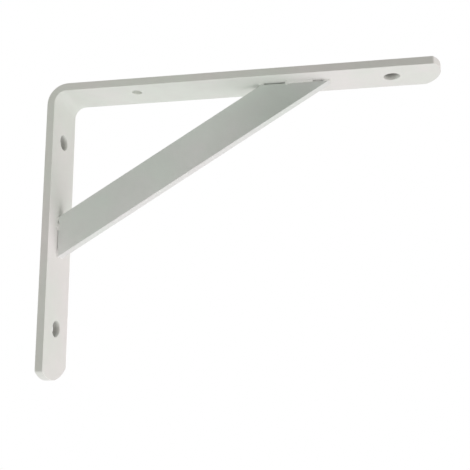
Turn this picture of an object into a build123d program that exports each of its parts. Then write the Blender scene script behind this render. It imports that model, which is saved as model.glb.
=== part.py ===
from build123d import *
from math import atan2, cos, sin, sqrt
import os

# Heavy-duty shelf bracket: a bent flat-bar angle with a diagonal flat-bar brace
# welded across its inside corner. Millimetres. X points out from the wall, Y runs
# along the wall and Z points up. The design is drawn from the corner where the wall
# plane meets the shelf plane; it is then raised so that the part's origin lies on the
# wall plane, halfway between the two wall screws.

# Angle bar
shelf_leg_length = 200.0
wall_leg_length = 150.0
bar_width = 25.0
bar_thickness = 4.0
bend_inside_radius = 6.2
bend_outside_radius = 11.0
end_arc_radius = 18.0
end_corner_radius = 1.5
bar_arris_radius = 0.3

# Screw holes: distances from the outer corner, sizes, and the paint-rounded rims
wall_hole_depths = (28.0, 125.0)
shelf_hole_reaches = (44.5, 176.0)
screw_hole_diameter = 8.0
rear_shelf_hole_diameter = 5.0
rear_shelf_hole_offset = -3.0
hole_rim_radius = 0.45

# Brace: where its lower edge meets the two legs, its section, and the fit-up gaps
brace_foot_depth = 89.5
brace_head_reach = 146.0
brace_height = 18.0
brace_thickness = 6.0
brace_arris_radius = 0.4
foot_gap = 0.3
head_gap = 0.55

# Welds: stretches along each joint, and the fillet radius of each bead. Those at the
# brace's head are measured from the wall plane, those at its foot from the shelf plane.
head_weld_span = (123.3, 135.9)
head_weld_radius = 0.9
head_toe_span = (142.4, 144.6)
head_toe_radius = 0.5
foot_tack_span = (73.0, 74.0)
foot_tack_radius = 1.2
foot_toe_span = (85.8, 88.6)
foot_toe_radius = 0.7

head_welds = (
    ("head_weld", head_weld_span, head_weld_radius),
    ("head_toe_weld", head_toe_span, head_toe_radius),
)
foot_welds = (
    ("foot_tack", foot_tack_span, foot_tack_radius),
    ("foot_toe_weld", foot_toe_span, foot_toe_radius),
)

# How close two lengths must be to count as the same
same_length = 1e-6

half_width = bar_width / 2
half_brace = brace_thickness / 2
origin_drop = sum(wall_hole_depths) / 2
cutter_length = 4 * bar_thickness
end_arc_depth = end_arc_radius - sqrt(end_arc_radius**2 - half_width**2)

# The brace's direction, from its foot on the wall leg to its head on the shelf leg
brace_run = brace_head_reach - bar_thickness
brace_rise = brace_foot_depth - bar_thickness
brace_angle = atan2(brace_rise, brace_run)
heel_reach = brace_head_reach - brace_height / sin(brace_angle)
heel_depth = brace_foot_depth - brace_height / cos(brace_angle)


def through_hole(x, y, depth, diameter, normal):
    """A cutter for one screw hole through a leg, along the leg's normal."""
    plane = Plane(origin=(x, y, -depth), z_dir=normal)
    return plane * Cylinder(diameter / 2, cutter_length)


def rim_edges(solid, diameters):
    """The circles where the screw holes break the faces of a leg."""
    radii = [diameter / 2 for diameter in diameters]
    circles = solid.edges().filter_by(GeomType.CIRCLE)
    return [c for c in circles if any(abs(c.radius - r) < same_length for r in radii)]


def perimeter_edges(solid):
    """The long edges round the bar's outer and inner skins, without those across its thickness."""
    lines = solid.edges().filter_by(GeomType.LINE)
    skipped = [e for e in lines if abs(e.length - bar_thickness) < same_length]
    skipped += lines.filter_by(Axis.Y)
    return [e for e in solid.edges() if e not in skipped]


def end_waste(tip, outward, normal):
    """What is cut off one leg to leave its end bowed, as a solid across the leg's thickness."""
    clear = bar_width
    side = half_width + clear
    bow = ThreePointArc((-end_arc_depth, -half_width), (0, 0), (-end_arc_depth, half_width))
    outline = Polyline(
        (-end_arc_depth, half_width),
        (-end_arc_depth, side),
        (clear, side),
        (clear, -side),
        (-end_arc_depth, -side),
        (-end_arc_depth, -half_width),
    )
    plane = Plane(origin=tip, x_dir=outward, z_dir=normal)
    return extrude(plane * make_face(bow + outline), amount=cutter_length, both=True)


def make_angle_bar():
    """The flat bar bent to a right angle, with bowed ends and four screw holes."""
    outside = bend_outside_radius
    inside = bar_thickness
    inner = bar_thickness + bend_inside_radius
    arc_point = 1 - cos(atan2(1, 1))
    outer_mid = outside * arc_point
    inner_mid = inside + bend_inside_radius * arc_point
    shelf_waste = end_waste((shelf_leg_length, 0, 0), (1, 0, 0), (0, 0, 1))
    wall_waste = end_waste((0, 0, -wall_leg_length), (0, 0, -1), (1, 0, 0))
    with BuildPart() as bar:
        with BuildSketch(Plane.XZ):
            with BuildLine():
                Line((0, -wall_leg_length), (0, -outside))
                ThreePointArc((0, -outside), (outer_mid, -outer_mid), (outside, 0))
                Line((outside, 0), (shelf_leg_length, 0))
                Line((shelf_leg_length, 0), (shelf_leg_length, -inside))
                Line((shelf_leg_length, -inside), (inner, -inside))
                ThreePointArc((inner, -inside), (inner_mid, -inner_mid), (inside, -inner))
                Line((inside, -inner), (inside, -wall_leg_length))
                Line((inside, -wall_leg_length), (0, -wall_leg_length))
            make_face()
        extrude(amount=half_width, both=True)
        add(shelf_waste, mode=Mode.SUBTRACT)
        add(wall_waste, mode=Mode.SUBTRACT)
        shelf_end = bar.edges().filter_by(Axis.Z).group_by(Axis.X)[-1]
        wall_end = bar.edges().filter_by(Axis.X).group_by(Axis.Z)[0]
        fillet(shelf_end + wall_end, end_corner_radius)
        fillet(perimeter_edges(bar.part), bar_arris_radius)
    solid = bar.part
    for depth in wall_hole_depths:
        solid -= through_hole(0, 0, depth, screw_hole_diameter, (1, 0, 0))
    rear_reach, front_reach = shelf_hole_reaches
    solid -= through_hole(rear_reach, rear_shelf_hole_offset, 0, rear_shelf_hole_diameter, (0, 0, 1))
    solid -= through_hole(front_reach, 0, 0, screw_hole_diameter, (0, 0, 1))
    return fillet(rim_edges(solid, (screw_hole_diameter, rear_shelf_hole_diameter)), hole_rim_radius)


def make_brace():
    """The diagonal flat bar on edge, mitred to the two legs with a small fit-up gap."""
    foot_x = bar_thickness + foot_gap
    slope = brace_rise / brace_run
    head_z = -bar_thickness - head_gap
    toe = (brace_head_reach - head_gap / slope, head_z)
    heel = (heel_reach - head_gap / slope, head_z)
    foot_low = (foot_x, -brace_foot_depth + foot_gap * slope)
    foot_high = (foot_x, -heel_depth + foot_gap * slope)
    with BuildPart() as brace:
        with BuildSketch(Plane.XZ):
            with BuildLine():
                Polyline(foot_low, toe, heel, foot_high, close=True)
            make_face()
        extrude(amount=half_brace, both=True)
        along_brace = Axis((0, 0, 0), (brace_run, 0, brace_rise))
        fillet(brace.edges().filter_by(along_brace), brace_arris_radius)
    return brace.part


def bead(start, end, radius):
    """A round-ended bar from one point to another: the metal of one weld bead."""
    path = Line(start, end)
    rod = Plane(origin=path @ 0.5, z_dir=path % 0) * Cylinder(radius, path.length)
    return rod + Pos(*start) * Sphere(radius) + Pos(*end) * Sphere(radius)


def make_weld(start, end, radius, root, members, side):
    """One weld: a fillet bead on one side of the brace and the root metal under it."""
    middle = [(a + b) / 2 for a, b in zip(start, end)]
    fill = Pos(middle[0], side * half_brace / 2, middle[2]) * Box(*root)
    metal = bead(start, end, radius) + fill
    for member in members:
        metal -= member
    return metal


def make_welds(members):
    """The bead and toe weld at the head, and the tack and toe weld at the foot, on both sides."""
    welds = {}
    for side, name in ((-1, "left"), (1, "right")):
        y = side * half_brace
        for weld, (near, far), radius in head_welds:
            start, end = (near, y, -bar_thickness), (far, y, -bar_thickness)
            root = (far - near, half_brace, 2 * head_gap)
            welds[f"{weld}_{name}"] = make_weld(start, end, radius, root, members, side)
        for weld, (top, low), radius in foot_welds:
            start, end = (bar_thickness, y, -top), (bar_thickness, y, -low)
            root = (2 * foot_gap, half_brace, low - top)
            welds[f"{weld}_{name}"] = make_weld(start, end, radius, root, members, side)
    return welds


angle_bar = make_angle_bar()
brace = make_brace()
nodes = {"angle_bar": angle_bar, "brace": brace}
nodes.update(make_welds((angle_bar, brace)))

os.makedirs("parts", exist_ok=True)
for node, shape in nodes.items():
    placed = Pos(0, 0, origin_drop) * shape
    export_step(placed, f"parts/{node}.step")
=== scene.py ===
from math import cos, exp, pi, radians, sin

import bpy
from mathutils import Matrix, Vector


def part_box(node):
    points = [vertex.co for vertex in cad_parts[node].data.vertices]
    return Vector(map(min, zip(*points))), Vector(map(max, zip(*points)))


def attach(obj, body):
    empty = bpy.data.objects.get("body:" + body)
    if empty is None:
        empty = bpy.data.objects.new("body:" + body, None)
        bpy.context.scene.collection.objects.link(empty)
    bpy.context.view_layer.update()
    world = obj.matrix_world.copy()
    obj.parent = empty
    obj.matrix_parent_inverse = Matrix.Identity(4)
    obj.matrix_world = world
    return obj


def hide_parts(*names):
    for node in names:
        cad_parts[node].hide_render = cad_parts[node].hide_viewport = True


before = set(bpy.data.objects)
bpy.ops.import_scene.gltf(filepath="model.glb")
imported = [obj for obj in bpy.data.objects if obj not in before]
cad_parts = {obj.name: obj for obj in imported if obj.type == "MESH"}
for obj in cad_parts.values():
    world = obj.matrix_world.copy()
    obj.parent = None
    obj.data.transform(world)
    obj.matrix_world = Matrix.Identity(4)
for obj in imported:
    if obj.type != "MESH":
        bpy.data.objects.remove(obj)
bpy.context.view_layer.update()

# A white powder-coated shelf bracket: a bent flat-bar angle, a diagonal brace and the welds
# between them. Metres, in the frame of the CAD model: X out from the wall, Z up, and -Y is
# the left side. The angle and the brace keep their CAD meshes; the welds are modelled here.

MM = 0.001

# Where the two bars are, and the faces of the legs that the brace is welded to
angle_low, angle_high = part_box("angle_bar")
brace_low, brace_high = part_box("brace")
bar_thickness = 4.0 * MM
half_brace = brace_high.y
leg_underside = angle_high.z - bar_thickness
leg_inner_face = bar_thickness
head_gap = leg_underside - brace_high.z
foot_gap = brace_low.x - leg_inner_face

# The coat closes the gap at the brace's heels. At the head it does so over this stretch,
# measured from the wall plane; at the foot it starts at this height and runs down.
heel_start = 109.0 * MM
heel_run = 2.7 * MM
heel_height = 8.0 * MM
foot_heel_run = 1.8 * MM

# The gap is blocked a little way in beside each toe weld: over this stretch of the head, and at
# the foot from the tack down to the toe weld. The depths are measured from the brace's side.
head_block_start = 137.2 * MM
head_block_run = 3.6 * MM
head_block_depth = 0.35 * MM
foot_block_depth = 0.30 * MM

# How far out the coat stands where it closes the gap at a heel, and the size of each small bead
heel_bead = 0.30 * MM
head_toe_bead = 0.5 * MM
foot_tack_bead = 1.2 * MM
foot_toe_bead = 0.7 * MM

# The screw holes through the wall leg (along X) and the shelf leg (along Z): centre, radius,
# and how dark the painted shade deep in the bore is
wall_holes = (
    ((0.0, 0.0, 48.5 * MM), 4.0 * MM, 0.62),
    ((0.0, 0.0, -48.5 * MM), 4.0 * MM, 0.58),
)
shelf_holes = (
    ((176.0 * MM, 0.0, 0.0), 4.0 * MM, 0.85),
    ((44.5 * MM, -3.0 * MM, 0.0), 2.5 * MM, 0.10),
)


# The colours of the coat: its two whites, where it lies thin, where it has worn at an edge,
# dust under it, and the painted shade deep in the bores
cool_white = (0.788, 0.826, 0.780, 1.0)
warm_white = (0.842, 0.820, 0.814, 1.0)
thin_coat = (0.772, 0.780, 0.752, 1.0)
worn_coat = (0.70, 0.70, 0.672, 1.0)
dust = (0.62, 0.61, 0.58, 1.0)
bore_shade_colour = (0.235, 0.232, 0.222, 1.0)

# Painted light and shade by which way a face looks: a tint that lightens each bar's side faces,
# and painted shade that darkens them away from the corner: between which distances, and by how much.
# The brace's other faces get a darker tint, painted shade of their own.
white = (1.0, 1.0, 1.0)
angle_side_painted_light = (1.06, 1.05, 1.045)
angle_side_painted_shade = (50.0 * MM, 180.0 * MM, 0.12)
brace_face_painted_shade = (0.93, 0.94, 0.955)
brace_side_painted_light = (1.02, 1.055, 1.055)
brace_side_painted_shade = (80.0 * MM, 135.0 * MM, 0.25)

# The floor: how far below the bracket it lies, its radius, and where it thins out into the white
floor_drop = 0.30
floor_radius = 1.3
floor_fade = (0.6, 1.2)

# The lights, all aimed at one point: place, width, power and colour. The wash falls on the floor
# alone, so that the bracket's top face isn't washed out.
light_target = (0.1, 0.0, 0.0)
ambient_light = (0.385, 0.384, 0.360)
floor_wash = ((0.10, 0.10, 1.30), 0.7, 15.5, (1.0, 1.0, 1.0))
lamps = {
    "top": ((0.10, 0.10, 1.30), 0.7, 5.5, (1.0, 1.0, 1.0)),
    "right": ((1.20, 0.12, 0.00), 0.9, 5.7, (1.0, 0.92, 0.95)),
    "left": ((-1.20, 0.10, 0.40), 0.9, 3.0, (1.0, 1.0, 1.0)),
    "back": ((-0.30, 1.20, 0.30), 0.9, 5.0, (1.0, 1.0, 1.0)),
}


# ---------------------------------------------------------------- material nodes

class Nodes:
    """A material's node tree, with short calls that add a node and return its output."""

    def __init__(self, name):
        self.material = bpy.data.materials.new(name)
        self.material.use_nodes = True
        self.tree = self.material.node_tree
        self.tree.nodes.clear()

    def add(self, kind, settings=None, inputs=None):
        node = self.tree.nodes.new(kind)
        for key, value in (settings or {}).items():
            setattr(node, key, value)
        for key, value in (inputs or {}).items():
            socket = node.inputs[key]
            if isinstance(value, bpy.types.NodeSocket):
                self.tree.links.new(value, socket)
            else:
                socket.default_value = value
        return node

    def noise(self, place, scale, detail=2.0, roughness=0.5):
        inputs = {"Vector": place, "Scale": scale, "Detail": detail, "Roughness": roughness}
        return self.add("ShaderNodeTexNoise", inputs=inputs).outputs["Fac"]

    def math(self, operation, first, second=0.0, clamp=False):
        node = self.add("ShaderNodeMath", {"operation": operation, "use_clamp": clamp})
        for socket, value in zip(node.inputs, (first, second)):
            if isinstance(value, bpy.types.NodeSocket):
                self.tree.links.new(value, socket)
            else:
                socket.default_value = value
        return node.outputs["Value"]

    def distance(self, place, point):
        inputs = {0: place, 1: point}
        return self.add("ShaderNodeVectorMath", {"operation": "DISTANCE"}, inputs).outputs["Value"]

    def band(self, value, low, high, out_low=0.0, out_high=1.0):
        """The value, moved from low..high to out_low..out_high with smooth ends."""
        inputs = {"Value": value, "From Min": low, "From Max": high}
        inputs.update({"To Min": out_low, "To Max": out_high})
        settings = {"interpolation_type": "SMOOTHSTEP"}
        return self.add("ShaderNodeMapRange", settings, inputs).outputs["Result"]

    def bump(self, strength, depth, height, under=None):
        inputs = {"Strength": strength, "Distance": depth, "Height": height}
        if under:
            inputs["Normal"] = under
        return self.add("ShaderNodeBump", inputs=inputs).outputs["Normal"]

    def mix(self, factor, first, second, blend="MIX"):
        node = self.add("ShaderNodeMix", {"data_type": "RGBA", "blend_type": blend})
        for index, value in ((0, factor), (6, first), (7, second)):
            socket = node.inputs[index]
            if isinstance(value, bpy.types.NodeSocket):
                self.tree.links.new(value, socket)
            else:
                socket.default_value = value
        return node.outputs[2]


def grey(value):
    return (value, value, value, 1.0)


def painted_bore_shade(n, place):
    """Painted shade: 0 on the open faces, rising to 1 deep in the screw holes, darkening the bores as if in
    shadow.
    """
    axes = n.add("ShaderNodeSeparateXYZ", inputs={0: place}).outputs
    x_depth = n.math("SUBTRACT", leg_inner_face, axes["X"])
    z_depth = n.math("SUBTRACT", axes["Z"], leg_underside)
    painted_shade = 0.0
    sets = ((wall_holes, (0, 1, 1), x_depth, 0.1 * MM), (shelf_holes, (1, 1, 0), z_depth, 0.7 * MM))
    for holes, flat, depth, lip in sets:
        flattened = n.add("ShaderNodeVectorMath", {"operation": "MULTIPLY"}, {0: place, 1: flat})
        across = flattened.outputs["Vector"]
        deep = n.band(depth, lip, lip + 2.4 * MM)
        for centre, radius, amount in holes:
            reach = n.distance(across, centre)
            inside = n.band(reach, radius + 0.30 * MM, radius + 0.05 * MM, 0.0, amount)
            painted_shade = n.math("MAXIMUM", painted_shade, n.math("MULTIPLY", inside, deep))
    return painted_shade


def powder_coat(name, pooled=0.0, shade_bores=False, face_light_tint=white, side_light_tint=white, side_shade_fade=None):
    """White semi-gloss powder coat: mottled, with orange peel, a few nibs and thinner, duller edges.

    pooled smooths it. The switch for the holes paints shade deep in the screw holes. The two tints
    paint light and shade by which way a face looks: the side one for the faces that look along Y, the
    other for all the rest. The side fade paints shade on the faces that look along Y, darker by its
    last number between two distances from the bracket's corner.
    """
    n = Nodes(name)
    place = n.add("ShaderNodeTexCoord").outputs["Object"]

    cloud = n.noise(place, 22.0, 3.0, 0.55)
    patch = n.noise(place, 95.0, 4.0, 0.6)
    peel = n.noise(place, 620.0, 2.0, 0.45)
    grain = n.noise(place, 3600.0, 2.0, 0.6)

    tone = n.mix(n.band(cloud, 0.35, 0.65), cool_white, warm_white)
    tone = n.mix(n.band(patch, 0.3, 0.75, 0.0, 0.5), tone, thin_coat)

    # Where the coat is thin, over a rounded edge, it is duller and a little darker
    face = n.add("ShaderNodeNewGeometry").outputs["Normal"]
    soft = n.add("ShaderNodeBevel", {"samples": 6}, {"Radius": 0.7 * MM}).outputs["Normal"]
    same = n.add("ShaderNodeVectorMath", {"operation": "DOT_PRODUCT"}, {0: face, 1: soft}).outputs["Value"]
    edge = n.band(same, 0.998, 0.93)
    worn = n.math("MULTIPLY", edge, n.band(patch, 0.42, 0.62))
    tone = n.mix(n.math("MULTIPLY", worn, 0.35), tone, worn_coat)

    # Specks of dust caught under the coat
    cells = n.add("ShaderNodeTexVoronoi", {"feature": "F1"}, {"Vector": place, "Scale": 210.0})
    near = n.band(cells.outputs["Distance"], 0.10, 0.02)
    few = n.math("GREATER_THAN", cells.outputs["Color"], 0.84)
    nib = n.math("MULTIPLY", near, few)
    tone = n.mix(n.math("MULTIPLY", nib, 0.22), tone, dust)

    # Painted shade: the bores are darkened deep inside, standing in for the shadow in the screw holes
    if shade_bores:
        tone = n.mix(painted_bore_shade(n, place), tone, bore_shade_colour)
    # Painted light and shade: the faces that look along Y take one tint and all the others another, by
    # which way they face
    facing = n.add("ShaderNodeSeparateXYZ", inputs={0: face}).outputs["Y"]
    side = n.band(n.math("ABSOLUTE", facing), 0.6, 0.95)
    tone = n.mix(1.0, tone, n.mix(side, (*face_light_tint, 1.0), (*side_light_tint, 1.0)), "MULTIPLY")
    # Painted shade: the faces that look along Y darken with distance from the bracket's corner
    if side_shade_fade:
        reach = n.distance(place, (0.0, 0.0, angle_high.z))
        start, end, depth = side_shade_fade
        painted_side_shade = n.math("MULTIPLY", side, n.band(reach, start, end, 0.0, depth))
        tone = n.mix(painted_side_shade, tone, grey(0.0))

    gloss = n.band(patch, 0.25, 0.75, 0.36 + 0.05 * pooled, 0.50)
    gloss = n.math("ADD", gloss, n.math("MULTIPLY", grain, 0.08))
    gloss = n.math("ADD", gloss, n.math("MULTIPLY", worn, 0.12), clamp=True)

    # Orange peel, fine grain and the specks, each on top of the last: strength, depth and height
    relief = n.bump(0.55, 0.045 * MM, peel)
    relief = n.bump(0.35, 0.012 * MM, grain, relief)
    relief = n.bump(0.6, 0.06 * MM, nib, relief)

    shader = n.add(
        "ShaderNodeBsdfPrincipled",
        inputs={"Base Color": tone, "Roughness": gloss, "IOR": 1.48, "Normal": relief},
    )
    out = n.add("ShaderNodeOutputMaterial", inputs={"Surface": shader.outputs["BSDF"]})
    out.is_active_output = True
    return n.material


def floor_material(fade_start, fade_end):
    """Pale matt paper that thins out with distance into the white behind it, so it shows no horizon."""
    n = Nodes("floor_paper")
    place = n.add("ShaderNodeTexCoord").outputs["Object"]
    reach = n.add("ShaderNodeVectorMath", {"operation": "LENGTH"}, {0: place}).outputs["Value"]
    tone = n.mix(n.noise(place, 9.0, 3.0), grey(0.79), grey(0.81))
    matt = n.add("ShaderNodeBsdfDiffuse", inputs={"Color": tone})
    clear = n.add("ShaderNodeBsdfTransparent")
    fade = n.band(reach, fade_start, fade_end)
    both = n.add("ShaderNodeMixShader", inputs={0: fade, 1: matt.outputs["BSDF"], 2: clear.outputs["BSDF"]})
    n.add("ShaderNodeOutputMaterial", inputs={"Surface": both.outputs["Shader"]})
    return n.material


# ---------------------------------------------------------------- mesh helpers

def mesh_object(name, points, faces, material):
    mesh = bpy.data.meshes.new(name)
    mesh.from_pydata([tuple(p) for p in points], [], faces)
    mesh.validate()
    mesh.shade_smooth()
    piece = bpy.data.objects.new(name, mesh)
    piece.data.materials.append(material)
    bpy.context.scene.collection.objects.link(piece)
    return piece


def loft(sections):
    """The points and faces of a closed solid through a row of equal sections, capped at each end."""
    count = len(sections[0])
    points = [p for section in sections for p in section]
    faces = []
    for row in range(len(sections) - 1):
        for i in range(count):
            j = (i + 1) % count
            a, b = row * count, (row + 1) * count
            faces.append((a + i, a + j, b + j, b + i))
    last = (len(sections) - 1) * count
    faces.append(tuple(reversed(range(count))))
    faces.append(tuple(last + i for i in range(count)))
    return points, faces


def joined(name, solids, material):
    """One piece out of several separate solids."""
    points, faces = [], []
    for solid_points, solid_faces in solids:
        start = len(points)
        points += solid_points
        faces += [tuple(start + i for i in face) for face in solid_faces]
    return mesh_object(name, points, faces, material)


# ---------------------------------------------------------------- welds

# How finely a bead is drawn, along it and round it, and how far it sinks into what it joins
stations = 64
steps = 14
sink = 0.03 * MM

class Joint:
    """The joint between one side of the brace and a leg, as the frame that its welds are laid in.

    corner is a point on the leg in line with the brace's side; the joint runs along it, out
    points away from the brace's side and down away from the leg. gap is the fit-up gap.
    """

    def __init__(self, corner, along, out, down, gap):
        self.corner, self.along, self.out, self.down = (Vector(v) for v in (corner, along, out, down))
        self.gap = gap

    def section(self, s, outline):
        return [self.corner + self.along * s + self.out * a + self.down * b for a, b in outline]

    def bead(self, start, length, size):
        """Root metal in the gap and a bead over it, from start along the joint.

        size(s) gives the bead's width on the leg, its depth on the brace, and how full it is.
        """
        sections = []
        for row in range(stations + 1):
            s = length * row / stations
            width, depth, full = size(s)
            foot = Vector((width, -sink))
            toe = Vector((-sink, self.gap + depth))
            middle = Vector((foot.x * full, toe.y * full))
            outline = []
            for k in range(steps + 1):
                t = k / steps
                outline.append(foot * (1 - t) ** 2 + middle * 2 * t * (1 - t) + toe * t ** 2)
            outline += [(-half_brace, self.gap + sink), (-half_brace, -sink)]
            sections.append(self.section(start + s, outline))
        return loft(sections)

    def fill(self, start, length, recess):
        """Coat and metal that block the gap a little way in from the brace's side."""
        low, high = -sink, self.gap + sink
        outline = [(-recess, low), (-recess, high), (-half_brace, high), (-half_brace, low)]
        return loft([self.section(start, outline), self.section(start + length, outline)])


def head_bead(length):
    """A run along the brace's head: a lump where the arc was struck, then a low, nearly flush bead."""
    def size(s):
        ends = min(1.0, s / (0.7 * MM) + 0.25, (length - s) / (0.9 * MM) + 0.2)
        lump = exp(-((s - 1.1 * MM) / (1.0 * MM)) ** 2)
        ripple = 0.05 * sin(2 * pi * s / (1.05 * MM)) + 0.03 * sin(2 * pi * s / (2.9 * MM) + 1.0)
        width = (0.75 + 0.65 * lump + ripple) * ends * MM
        depth = (0.40 + 0.40 * lump + ripple) * ends * MM
        return width, depth, 0.30 + 0.35 * lump
    return size


def small_bead(length, radius, full):
    """A short tack, full in the middle and drawn down at both ends."""
    def size(s):
        rise = sin(pi * (0.08 + 0.84 * s / length)) ** 0.6
        ripple = 0.04 * sin(2 * pi * s / (0.9 * MM))
        return (radius + ripple * MM) * rise, (0.8 * radius + ripple * MM) * rise, full
    return size


def make_welds(material):
    """Every weld node's piece, on both sides, each over its own CAD node."""
    made = []
    for side, name in ((-1, "left"), (1, "right")):
        out = (0, side, 0)

        # Along the head, measured out from the wall plane
        head = Joint((0, side * half_brace, leg_underside), (1, 0, 0), out, (0, 0, -1), head_gap)
        low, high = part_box(f"head_weld_{name}")
        toe_low, toe_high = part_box(f"head_toe_weld_{name}")
        run, toe_run = high.x - low.x, toe_high.x - toe_low.x
        bead = head.bead(low.x, run, head_bead(run))
        heel = head.bead(heel_start, heel_run, small_bead(heel_run, heel_bead, 0.3))
        made.append((f"head_weld_{name}", [bead, heel]))
        toe = head.bead(toe_low.x, toe_run, small_bead(toe_run, head_toe_bead, 0.3))
        block = head.fill(head_block_start, head_block_run, head_block_depth)
        made.append((f"head_toe_weld_{name}", [toe, block]))

        # Down the foot, measured down from the height of its heel
        corner = (leg_inner_face, side * half_brace, heel_height)
        foot = Joint(corner, (0, 0, -1), out, (1, 0, 0), foot_gap)
        low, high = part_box(f"foot_tack_{name}")
        toe_low, toe_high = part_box(f"foot_toe_weld_{name}")
        run, toe_run = high.z - low.z, toe_high.z - toe_low.z
        tack = foot.bead(heel_height - high.z, run, small_bead(run, foot_tack_bead, 0.5))
        heel = foot.bead(0.0, foot_heel_run, small_bead(foot_heel_run, heel_bead, 0.3))
        made.append((f"foot_tack_{name}", [tack, heel]))
        toe = foot.bead(heel_height - toe_high.z, toe_run, small_bead(toe_run, foot_toe_bead, 0.5))
        block = foot.fill(heel_height - low.z, low.z - toe_high.z, foot_block_depth)
        made.append((f"foot_toe_weld_{name}", [toe, block]))
    for node, solids in made:
        piece = joined(f"{node}_bead", solids, material)
        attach(piece, "root")
        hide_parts(node)


# ---------------------------------------------------------------- stage, light and camera

def make_floor(drop):
    """A round pale floor under the object."""
    spokes = 96
    centre_x = (angle_low.x + angle_high.x) / 2
    height = angle_low.z - drop
    turns = [2 * pi * i / spokes for i in range(spokes)]
    rim = [(floor_radius * cos(turn), floor_radius * sin(turn), 0.0) for turn in turns]
    floor = mesh_object("floor", rim, [tuple(range(spokes))], floor_material(*floor_fade))
    floor.location = (centre_x, 0.0, height)
    return floor


def area_light(name, place, size, power, colour, only=None):
    """A soft square light. When only is given, it falls on that object and on nothing else."""
    lamp = bpy.data.lights.new(name, "AREA")
    lamp.shape = "SQUARE"
    lamp.size = size
    lamp.energy = power
    lamp.color = colour
    light = bpy.data.objects.new(name, lamp)
    light.location = place
    light.rotation_euler = (Vector(light_target) - Vector(place)).to_track_quat("-Z", "Y").to_euler()
    light.visible_camera = False
    if only:
        receivers = bpy.data.collections.new(f"{name}_receivers")
        receivers.objects.link(only)
        light.light_linking.receiver_collection = receivers
    bpy.context.scene.collection.objects.link(light)


def make_world(ambient):
    """White to look at, and a dimmer ambient light on the object."""
    world = bpy.data.worlds.new("studio")
    bpy.context.scene.world = world
    world.use_nodes = True
    tree = world.node_tree
    tree.nodes.clear()
    seen = tree.nodes.new("ShaderNodeBackground")
    seen.inputs["Color"].default_value = grey(1.0)
    lit = tree.nodes.new("ShaderNodeBackground")
    lit.inputs["Color"].default_value = (*ambient, 1.0)
    path = tree.nodes.new("ShaderNodeLightPath")
    mix = tree.nodes.new("ShaderNodeMixShader")
    out = tree.nodes.new("ShaderNodeOutputWorld")
    tree.links.new(path.outputs["Is Camera Ray"], mix.inputs[0])
    tree.links.new(lit.outputs["Background"], mix.inputs[1])
    tree.links.new(seen.outputs["Background"], mix.inputs[2])
    tree.links.new(mix.outputs["Shader"], out.inputs["Surface"])


def make_camera():
    lens = bpy.data.cameras.new("camera")
    lens.sensor_width = 36.0
    lens.lens = 47.188
    lens.shift_x = -0.0654
    lens.shift_y = -0.0377
    lens.clip_start = 0.01
    lens.clip_end = 20.0
    camera = bpy.data.objects.new("camera", lens)
    camera.location = (0.14895, -0.29695, -0.05335)
    camera.rotation_euler = (radians(100.7757), radians(1.1481), radians(7.5269))
    bpy.context.scene.collection.objects.link(camera)
    bpy.context.scene.camera = camera


# ---------------------------------------------------------------- build

angle_look = {"side_light_tint": angle_side_painted_light, "side_shade_fade": angle_side_painted_shade}
brace_look = {"face_light_tint": brace_face_painted_shade, "side_light_tint": brace_side_painted_light, "side_shade_fade": brace_side_painted_shade}
angle_coat = powder_coat("powder_coat_angle", shade_bores=True, **angle_look)
brace_coat = powder_coat("powder_coat_brace", **brace_look)
weld_coat = powder_coat("powder_coat_weld", pooled=1.0)

for node, coat in (("angle_bar", angle_coat), ("brace", brace_coat)):
    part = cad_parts[node]
    part.data.materials.clear()
    part.data.materials.append(coat)

make_welds(weld_coat)
floor = make_floor(floor_drop)
make_world(ambient_light)
area_light("floor_wash", *floor_wash, only=floor)
for name, lamp in lamps.items():
    area_light(name, *lamp)
make_camera()
bpy.context.scene.view_settings.view_transform = "Standard"
